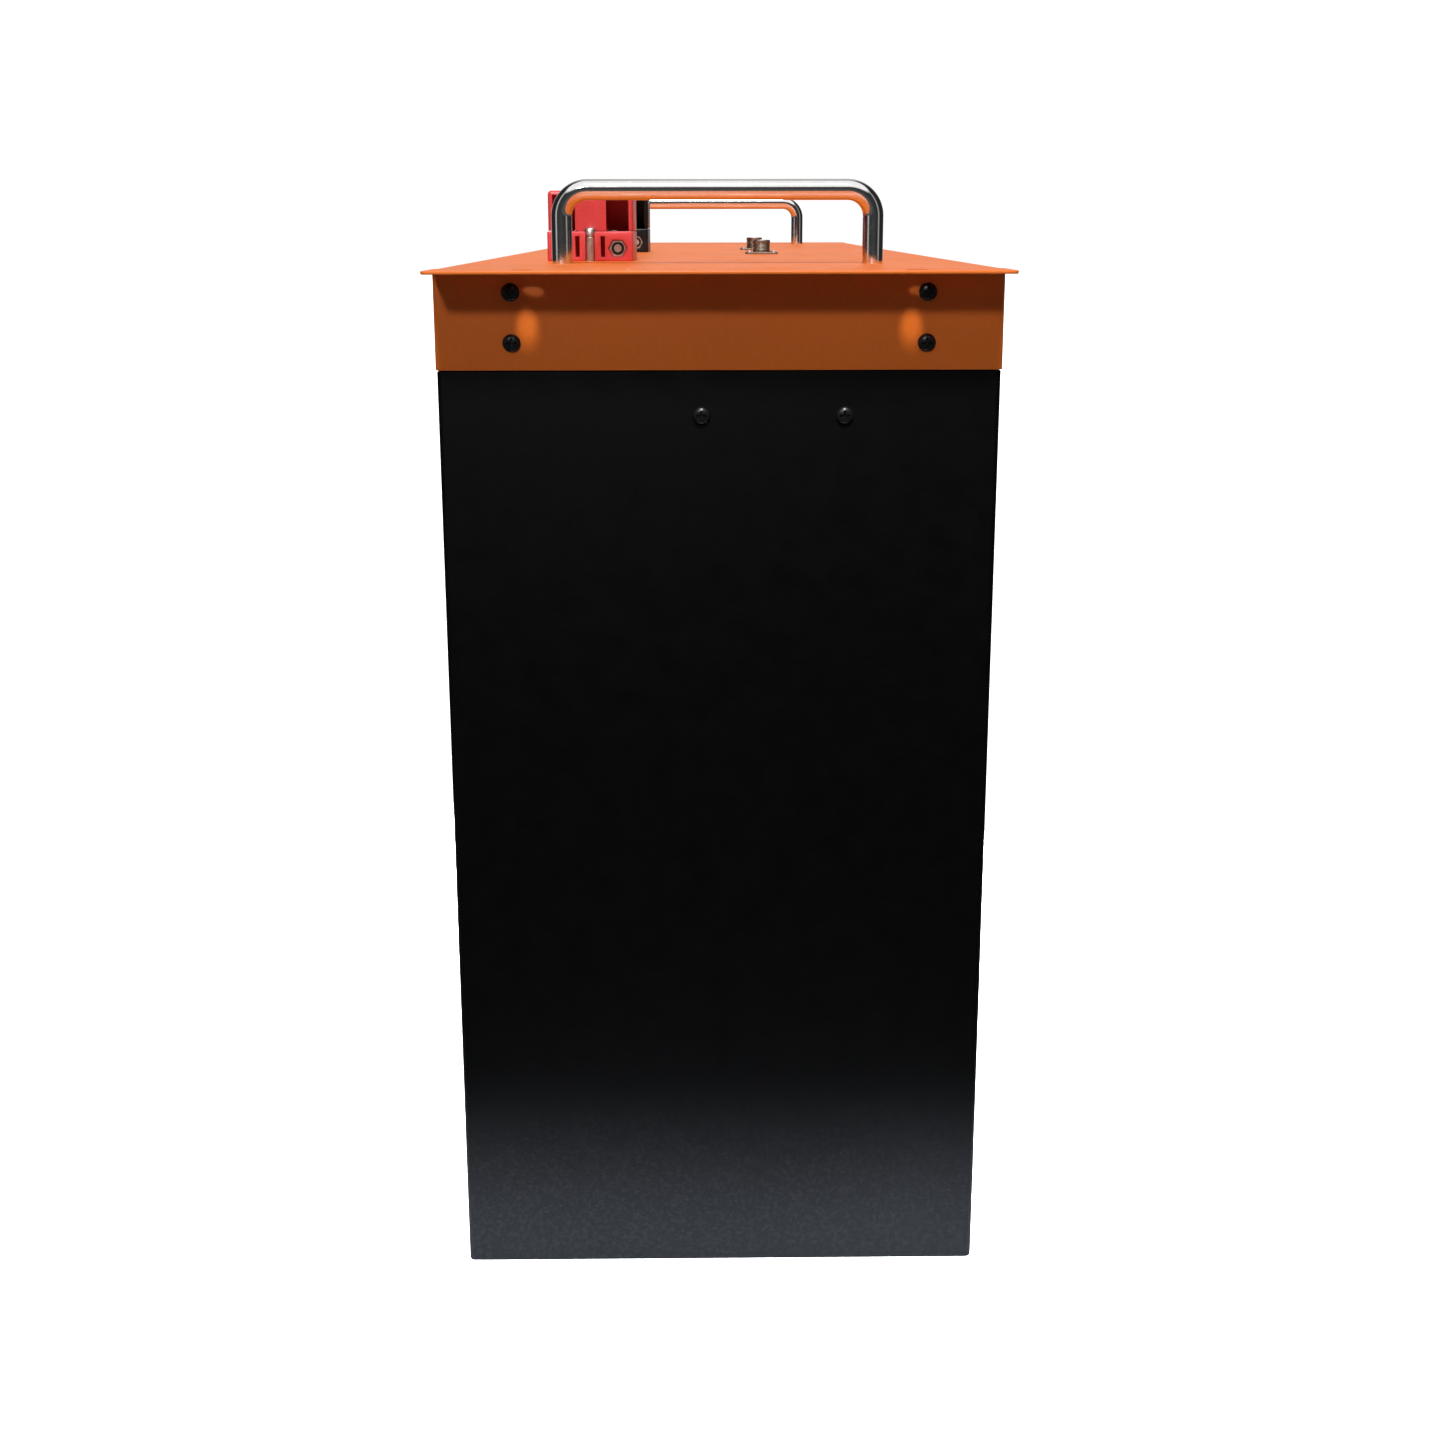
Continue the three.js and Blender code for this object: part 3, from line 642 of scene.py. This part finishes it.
def make_lid():
    """The lid: rolled edges, a skirt, and at each end a flat ear with two holes and a seam."""
    ear_reach = SCREW_SEAT - LID_LOW.y
    body = (LID_LOW.x, LID_LOW.y + ear_reach, LID_HIGH.x, LID_HIGH.y - ear_reach)
    under = LID_TOP - SHEET
    rings = [inset_outline(body, BEND, SHEET, under)]
    rings.append(inset_outline(body, BEND, SHEET, LID_LOW.z + SKIRT_EDGE))
    rings.append(inset_outline(body, BEND, SHEET - SKIRT_EDGE, LID_LOW.z))
    rings += round_out(body, BEND, SKIRT_EDGE, LID_LOW.z, 3)
    rings += round_in(body, BEND, BEND, LID_TOP, 6)
    piece = make("lid_fine", loft(rings))
    for end in (-1, 1):
        tip = LID_LOW.y if end < 0 else LID_HIGH.y
        root = tip - end * (ear_reach + EAR["overlap"])
        ear = (LID_LOW.x, min(tip, root), LID_HIGH.x, max(tip, root))
        combine(piece, "UNION", slab(ear, BEND, under, LID_TOP, EAR["edge"]))
        middle_y = tip - end * ear_reach / 2
        combine(piece, "DIFFERENCE", ear_hole(-1, middle_y), ear_hole(1, middle_y))
        combine(piece, "DIFFERENCE", weld_seam(tip - end * ear_reach))
    finish(piece, PACK, "orange_powder_coat", "lid_cover")


# Handles.

def handle_path(node):
    """The centre line of a U-handle, its direction at each point, and the bar's radius."""
    low, high = span(node)
    bar = high.y - low.y
    left, right = low.x + bar / 2, high.x - bar / 2
    top = high.z - bar / 2
    steps = 18
    points = [((left, LID_TOP), 90)]
    for corner, first in ((left + HANDLE_BEND, 180), (right - HANDLE_BEND, 90)):
        for i in range(steps + 1):
            angle = first - 90 * i / steps
            place = math.radians(angle)
            x = corner + HANDLE_BEND * math.cos(place)
            z = top - HANDLE_BEND + HANDLE_BEND * math.sin(place)
            points.append(((x, z), angle - 90))
    points.append(((right, LID_TOP), -90))
    return points, bar / 2


def make_handle(which):
    node = f"handle_{which}"
    points, radius = handle_path(node)
    y = middle(node).y
    sides = 48
    rings = []
    for (x, z), heading in points:
        turn = math.radians(heading)
        across = Vector((-math.sin(turn), 0, math.cos(turn)))
        centre = Vector((x, y, z))
        ring = []
        for i in range(sides):
            angle = 2 * math.pi * i / sides
            outward = math.cos(angle) * Vector((0, 1, 0)) + math.sin(angle) * across
            ring.append(centre + radius * outward)
        rings.append(ring)
    piece = make(f"handle_{which}_fine", loft(rings))
    finish(piece, PACK, "chrome_bar", node)


# Terminal blocks.

class Block:
    """Where one terminal block's parts are."""

    def __init__(self, pole):
        self.pole = pole
        low, _ = span(f"{pole}_terminal_base")
        self.hood_low, self.hood_high = span(f"{pole}_terminal_hood")
        self.x = middle(f"{pole}_terminal_base").x
        self.half = self.x - low.x
        self.front = low.y
        self.back = self.hood_low.y + HOOD["length"]
        self.top = LID_TOP + BASE_HEIGHT
        self.pin = middle(f"{pole}_hinge_pin")
        self.stud = middle(f"{pole}_mounting_stud")
        self.plastic = f"{pole}_plastic"


def hinge_ear(block, side):
    """The base's hinge ear on one side: foot, neck and barrel."""
    pin = block.pin
    reach = HINGE["radius"]
    inner, outer = sorted((block.x + side * HINGE["inner"], block.x + side * HINGE["outer"]))
    foot = cuboid((inner, block.back - 2, block.top - 4), (outer, pin.y + reach, block.top - 0.1))
    neck = cuboid((inner, pin.y - reach, block.top - 1), (outer, pin.y + reach, pin.z))
    barrel = rod(reach, (inner, pin.y, pin.z), (outer, pin.y, pin.z))
    return foot, neck, barrel


def clamp_pockets(block, side):
    """Cutters for a clamp's hexagon pocket at the front and its head's pocket at the back."""
    radius, sink = CLAMP["pocket"], CLAMP["sink"]
    bolt = Vector((block.x + side * CLAMP["x"], block.front, LID_TOP + CLAMP["height"]))
    front = placed(turned([(radius, -1), (radius, sink)], 6), at(*bolt) @ facing((0, 1, 0)))
    rear = rod(radius, (bolt.x, block.back - sink, bolt.z), (bolt.x, block.back + 1, bolt.z))
    return front, rear


def slot_groove(block, side):
    """A cutter for the upright slot beside the post."""
    slot = block.x + side * SLOT["x"]
    low = (slot - SLOT["half_width"], block.front - 1, LID_TOP + SLOT["bottom"])
    return cuboid(low, (slot + SLOT["half_width"], block.front + SLOT["depth"], LID_TOP + SLOT["top"]))


def make_base(block):
    """The base: notched front, slots, clamp pockets, conductor well and hinge ears."""
    x = block.x
    box = (x - block.half, block.front, x + block.half, block.back)
    piece = make(f"{block.pole}_base_fine", slab(box, 1.2, LID_TOP, block.top, 0.5))
    for side in (-1, 1):
        combine(piece, "UNION", *hinge_ear(block, side))
        combine(piece, "DIFFERENCE", *clamp_pockets(block, side), slot_groove(block, side))
    notch = rod(NOTCH_RADIUS, (x, block.stud.y, LID_TOP - 1), (x, block.stud.y, block.top + 1), 40)
    stem = block.front + STEM["inset"]
    half_width = STEM["half_width"] + STEM["clearance"]
    half_depth = STEM["half_depth"] + STEM["clearance"]
    low = (x - half_width, stem - half_depth, LID_TOP - 1)
    well = cuboid(low, (x + half_width, stem + half_depth, block.top + 1))
    combine(piece, "DIFFERENCE", notch, well)
    soften(piece, 0.3, 2)
    finish(piece, PACK, block.plastic, f"{block.pole}_terminal_base")


def mark(block, height):
    """A moulded plus or minus for the pole, raised on the hood's roof."""
    x, y = block.x, (block.hood_low.y + block.back) / 2 + 4
    bars = [cuboid((x - 6, y - 1, height - 0.5), (x + 6, y + 1, height))]
    if block.pole == "red":
        bars.append(cuboid((x - 1, y - 6, height - 0.5), (x + 1, y + 6, height)))
    return bars


def make_hood(block):
    """The hood: a rounded shell with a window each side of its front panel, and its hinge."""
    x = block.x
    low, high = block.hood_low.z, block.hood_high.z
    roof = high - HOOD["crown"]
    face = block.hood_low.y
    wall = HOOD["wall"]
    box = (x - block.half, face, x + block.half, block.back)
    rings = [outline(box, 2, low)] + round_in(box, 2, 2, roof, 6)
    piece = make(f"{block.pole}_hood_fine", loft(rings))
    inner = block.half - wall
    cavity = (x - inner, face + wall, x + inner, block.back - wall)
    inside = loft([outline(cavity, 1, low - 1)] + round_in(cavity, 1, 1, roof - 1.15, 3))
    combine(piece, "DIFFERENCE", inside)
    for side in (-1, 1):
        near, far = sorted((x + side * HOOD["panel"] / 2, x + side * inner))
        top = high - HOOD["window_top"]
        window = cuboid((near, face - 2, low - 1), (far, face + wall + 1, top))
        combine(piece, "DIFFERENCE", window)
    pin, reach = block.pin, HINGE["web"]
    web = cuboid((x - reach, block.back - 1, low + 0.1), (x + reach, pin.y, high - 15.2))
    barrel = rod(HINGE["web_radius"], (x - reach, pin.y, pin.z), (x + reach, pin.y, pin.z))
    combine(piece, "UNION", web, barrel, *mark(block, high))
    soften(piece, 0.25, 2, 45)
    finish(piece, f"{block.pole}_hood", block.plastic, f"{block.pole}_terminal_hood")


def make_pin(block):
    """The hinge pin with its rounded ends."""
    radius, length = HINGE["pin"], 2 * HINGE["outer"]
    profile = [(0.5, 0), (1.05, 0.25), (radius, 0.6)]
    profile += [(radius, length - 0.6), (1.05, length - 0.25), (0.5, length)]
    place = at(block.x - HINGE["outer"], block.pin.y, block.pin.z) @ facing((1, 0, 0))
    shape = placed(turned(profile, 24), place)
    finish(make(f"{block.pole}_pin_fine", shape), PACK, "nickel_fastener", f"{block.pole}_hinge_pin")


def make_post(block):
    """The round-topped post with its neck groove, and the nut under the lid."""
    low, high = span(f"{block.pole}_mounting_stud")
    top = high.z
    profile = [(2.7, low.z), (3.0, low.z + 0.4), (3.0, top - 5.2), (2.6, top - 5.0), (2.6, top - 4.2)]
    profile += [(3.0, top - 4.0), (3.0, top - 1.3), (2.6, top - 0.5), (1.8, top - 0.1), (0.3, top)]
    post = placed(turned(profile), at(block.x, block.stud.y, 0))
    nut = turned([(4.9, -6.4), (5.4, -6.0), (5.4, -1.9), (4.9, -1.5)], 6)
    nut = placed(nut, at(block.x, block.stud.y, LID_TOP))
    name = f"{block.pole}_mounting_stud"
    finish(make(f"{block.pole}_post_fine", joined(post, nut)), PACK, "nickel_fastener", name)


def hexagon(radius, depth):
    """A nut's hexagon with chamfered ends."""
    return turned([(radius - 0.5, 0), (radius, 0.4), (radius, depth - 0.4), (radius - 0.5, depth)], 6)


def make_clamp(block, side):
    """One clamp bolt: its threaded end in a hexagon nut at the front, its head at the back."""
    x, z = block.x + side * CLAMP["x"], LID_TOP + CLAMP["height"]
    out = Matrix.Translation((x, block.front + 4.8, z)) @ facing((0, -1, 0))
    shank = turned([(2.2, -39)] + threads(2.4, -38, 4.0, 0.8, 0.3) + [(1.9, 4.6), (0.3, 4.6)], 32)
    nut = hexagon(CLAMP["nut_radius"], CLAMP["nut_depth"])
    head_at = Matrix.Translation((x, block.back - CLAMP["sink"], z)) @ facing((0, 1, 0))
    head = turned([(4.2, 0), (4.3, 0.4), (4.3, 2.9), (3.4, 3.8), (2.0, 3.9)], 40)
    shape = joined(placed(shank, out), placed(nut, out), placed(head, head_at))
    name = "left" if side < 0 else "right"
    node = f"{block.pole}_clamp_bolt_{name}"
    finish(make(f"{block.pole}_clamp_{name}_fine", shape), PACK, "nickel_fastener", node)


def make_painted_bore_shade(block, side):
    """A dark ring on the clamp nut's face round its bolt end: painted shade standing in for the shadowed gap
    of the nut's bore, not a real part.
    """
    x, z = block.x + side * CLAMP["x"], LID_TOP + CLAMP["height"]
    out = Matrix.Translation((x, block.front + 0.85, z)) @ facing((0, -1, 0))
    ring = turned([(2.45, 0), (3.3, 0), (3.3, 0.25), (3.1, 0.4), (2.45, 0.4)], 40)
    name = "left" if side < 0 else "right"
    # Black ring where the nut's bore would be in shade: painted shade.
    piece = make(f"{block.pole}_painted_bore_shade_{name}", placed(ring, out))
    finish(piece, PACK, "black_screw")


def make_conductor(block):
    """The lug plate with its stem and threaded stud, and the washer and nut on it."""
    low, high = span(f"{block.pole}_conductor")
    x, y = block.x, (low.y + high.y) / 2
    seat = block.top + 3
    plate = slab((x - 8, low.y, x + 8, high.y), 1.0, block.top, seat, 0.35)
    dx, dy = STEM["half_width"], STEM["half_depth"]
    stem = slab((x - dx, y - dy, x + dx, y + dy), 0.6, low.z, block.top + 0.5, 0.3)
    stud = turned([(3.6, seat - 0.2)] + threads(4.0, seat, high.z - 0.6, 1.25, 0.5) + [(2.6, high.z)], 40)
    washer = turned([(4.1, seat), (7.6, seat), (7.8, seat + 0.3), (7.6, seat + 1.4), (4.1, seat + 1.4)], 48)
    nut = turned([(6.6, seat + 1.4), (7.3, seat + 1.9), (7.3, seat + 7.2), (6.6, seat + 7.7)], 6)
    centred = at(x, y, 0)
    shape = joined(plate, stem, *(placed(part, centred) for part in (stud, washer, nut)))
    name = f"{block.pole}_conductor"
    finish(make(f"{name}_fine", shape), PACK, "nickel_plated_copper", name)


# Screws and sockets.

def cross_recess(depth, reach, width):
    """A cross-shaped cutter pointing down from the origin."""
    bars = []
    for long_x in (True, False):
        dx, dy = (reach, width) if long_x else (width, reach)
        bars.append(cuboid((-dx, -dy, -depth), (dx, dy, 1)))
    return bars


def make_wall_screw(node):
    """A black button-head screw with a cross recess, driven along Y."""
    low, high = span(node)
    outward = -1 if low.y < 0 else 1
    head = WALL_SCREW["head_height"]
    seat = low.y + head if outward < 0 else high.y - head
    centre = middle(node)
    place = Matrix.Translation((centre.x, seat, centre.z)) @ facing((0, outward, 0))
    radius, length = WALL_SCREW["radius"], WALL_SCREW["length"]
    profile = [(2.1, -length), (radius, -11.6)] + threads(radius, -11.4, -1.8, 0.8, 0.3)
    profile.append((radius, -0.1))
    profile += [(3.8, 0.0), (4.0, 0.3), (3.9, 0.9), (3.3, 1.6), (2.3, 2.05), (1.0, 2.2)]
    piece = make(f"{node}_fine", placed(turned(profile, 40), place))
    tip = place @ at(0, 0, 2.3)
    recess = [placed(bar, tip) for bar in cross_recess(depth=1.8, reach=2.3, width=0.5)]
    combine(piece, "DIFFERENCE", *recess)
    finish(piece, PACK, "black_screw", node)


def make_socket(node):
    """A panel socket's ringed barrel and stepped mouth."""
    low, high = span(node)
    x, y = middle(node).x, middle(node).y
    top = high.z
    profile = [(5.0, low.z), (5.2, low.z + 0.3), (5.2, LID_TOP + 0.4), (5.5, LID_TOP + 0.5)]
    profile += [(5.5, LID_TOP + 1.8)] + threads(5.5, LID_TOP + 2.0, top - 2.2, 0.9, 0.3)
    profile += [(5.5, top - 2.0), (5.5, top - 0.4), (5.1, top), (4.5, top), (4.4, top - 0.2), (4.4, top - 3)]
    barrel = placed(turned(profile, 56), at(x, y, 0))
    finish(make(f"{node}_fine", barrel), PACK, "nickel_socket", node)


def make_flange(node):
    """The square plate that a socket's corner screws hold down."""
    x, y = middle(node).x, middle(node).y
    half = FLANGE["half"]
    box = (x - half, y - half, x + half, y + half)
    plate = slab(box, FLANGE["corner"], LID_TOP, LID_TOP + FLANGE["thickness"], 0.3)
    piece = make(f"{node}_flange", plate, MATERIALS["nickel_flange"])
    finish(piece, PACK, "nickel_socket")


def make_insert(node):
    """The dark insulating disc in a socket's mouth."""
    x, y = middle(node).x, middle(node).y
    floor = span(node)[1].z - 3
    disc = turned([(4.3, floor - 0.2), (4.3, floor + 0.5), (4.0, floor + 0.7), (0.3, floor + 0.7)], 40)
    piece = make(f"{node}_insert", placed(disc, at(x, y, 0)))
    finish(piece, PACK, "black_plastic")


def make_pins(node):
    """A socket's contact pins on their ring."""
    x, y = middle(node).x, middle(node).y
    floor = span(node)[1].z - CONTACTS["below"]
    profile = [(0.45, floor), (0.45, floor + 1.6), (0.3, floor + 1.9), (0.05, floor + 2.0)]
    ring = CONTACTS["ring"]
    pins = []
    for i in range(CONTACTS["count"]):
        angle = math.radians(45 + 360 / CONTACTS["count"] * i)
        place = at(x + ring * math.cos(angle), y + ring * math.sin(angle), 0)
        pins.append(placed(turned(profile, 16), place))
    finish(make(f"{node}_pins", joined(*pins)), PACK, "nickel_socket")


def make_flange_screws(node):
    """The small round-headed screws in a socket flange's corners."""
    x, y = middle(node).x, middle(node).y
    reach = FLANGE["screw"]
    places = [(x + dx, y + dy) for dx in (-reach, reach) for dy in (-reach, reach)]
    base = LID_TOP + 0.9
    profile = [(1.2, base), (1.5, base + 0.1), (1.5, base + 0.5), (1.1, base + 0.9), (0.3, base + 1.05)]
    heads = [placed(turned(profile, 24), at(*place, 0)) for place in places]
    piece = make(f"{node}_flange_screws", joined(*heads))
    for place in places:
        tip = at(*place, LID_TOP + 2.0)
        recess = [placed(bar, tip) for bar in cross_recess(depth=0.6, reach=0.75, width=0.14)]
        combine(piece, "DIFFERENCE", *recess)
    finish(piece, PACK, "nickel_fastener")


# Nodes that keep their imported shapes, and the floor.

def dress_nodes():
    """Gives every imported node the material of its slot."""
    slots = {row["node"]: row["material_slot"] for row in frame["record"]["subparts"]}
    for node, piece in frame["nodes"].items():
        if node not in slots:
            continue
        piece.data.materials.clear()
        piece.data.materials.append(MATERIALS[slots[node]])


def make_floor():
    """A wide floor at the pack's underside: bright to the camera, dull to everything else."""
    material = bpy.data.materials.new("pale_floor")
    material.use_nodes = True
    net = Net(material.node_tree)
    out = net.add("OutputMaterial")
    paint = net.add("BsdfDiffuse")
    tint = net.blend(net.noise(400, 3, 30), (0.80, 0.80, 0.80), (0.84, 0.84, 0.84))
    net.link(tint, paint.inputs["Color"])
    level = FLOOR["dull"]
    dull = net.add("BsdfDiffuse")
    dull.inputs["Color"].default_value = (level, level, level, 1)
    glow = net.add("Emission", Strength=BACKDROP_LIGHT)
    path = net.add("LightPath")
    lit = net.add("AddShader")
    net.link(paint.outputs[0], lit.inputs[0])
    net.link(glow.outputs[0], lit.inputs[1])
    seen = net.mix_shader(path.outputs["Is Camera Ray"], dull.outputs[0], lit.outputs[0])
    net.link(seen, out.inputs["Surface"])
    corner = FLOOR["size"] / 2
    points = [(-corner, -corner, 0), (corner, -corner, 0), (corner, corner, 0), (-corner, corner, 0)]
    floor = make("floor", (points, [(0, 1, 2, 3)]), material)
    floor.location.z = -FLOOR["drop"] * MM


make_camera()
# The standard view keeps strong orange and red as strong as their materials say.
bpy.context.scene.view_settings.view_transform = "Standard"
MATERIALS = make_materials()
make_world()
for name, sun in SUNS.items():
    add_sun(name, sun)
light_walls()
make_floor()

make_case()
make_lid()
for which in ("front", "rear"):
    make_handle(which)
for pole in ("red", "black"):
    block = Block(pole)
    make_base(block)
    make_hood(block)
    make_pin(block)
    make_post(block)
    make_conductor(block)
    for side in (-1, 1):
        make_clamp(block, side)
        # The dark ring in each clamp nut's mouth is painted shade for the nut's bore.
        make_painted_bore_shade(block, side)
for node in sorted(frame["nodes"]):
    if node.startswith(("cover_screw", "bracket_screw")):
        make_wall_screw(node)
    if node.startswith("signal_socket"):
        make_socket(node)
        make_flange(node)
        make_insert(node)
        make_pins(node)
        make_flange_screws(node)
dress_nodes()
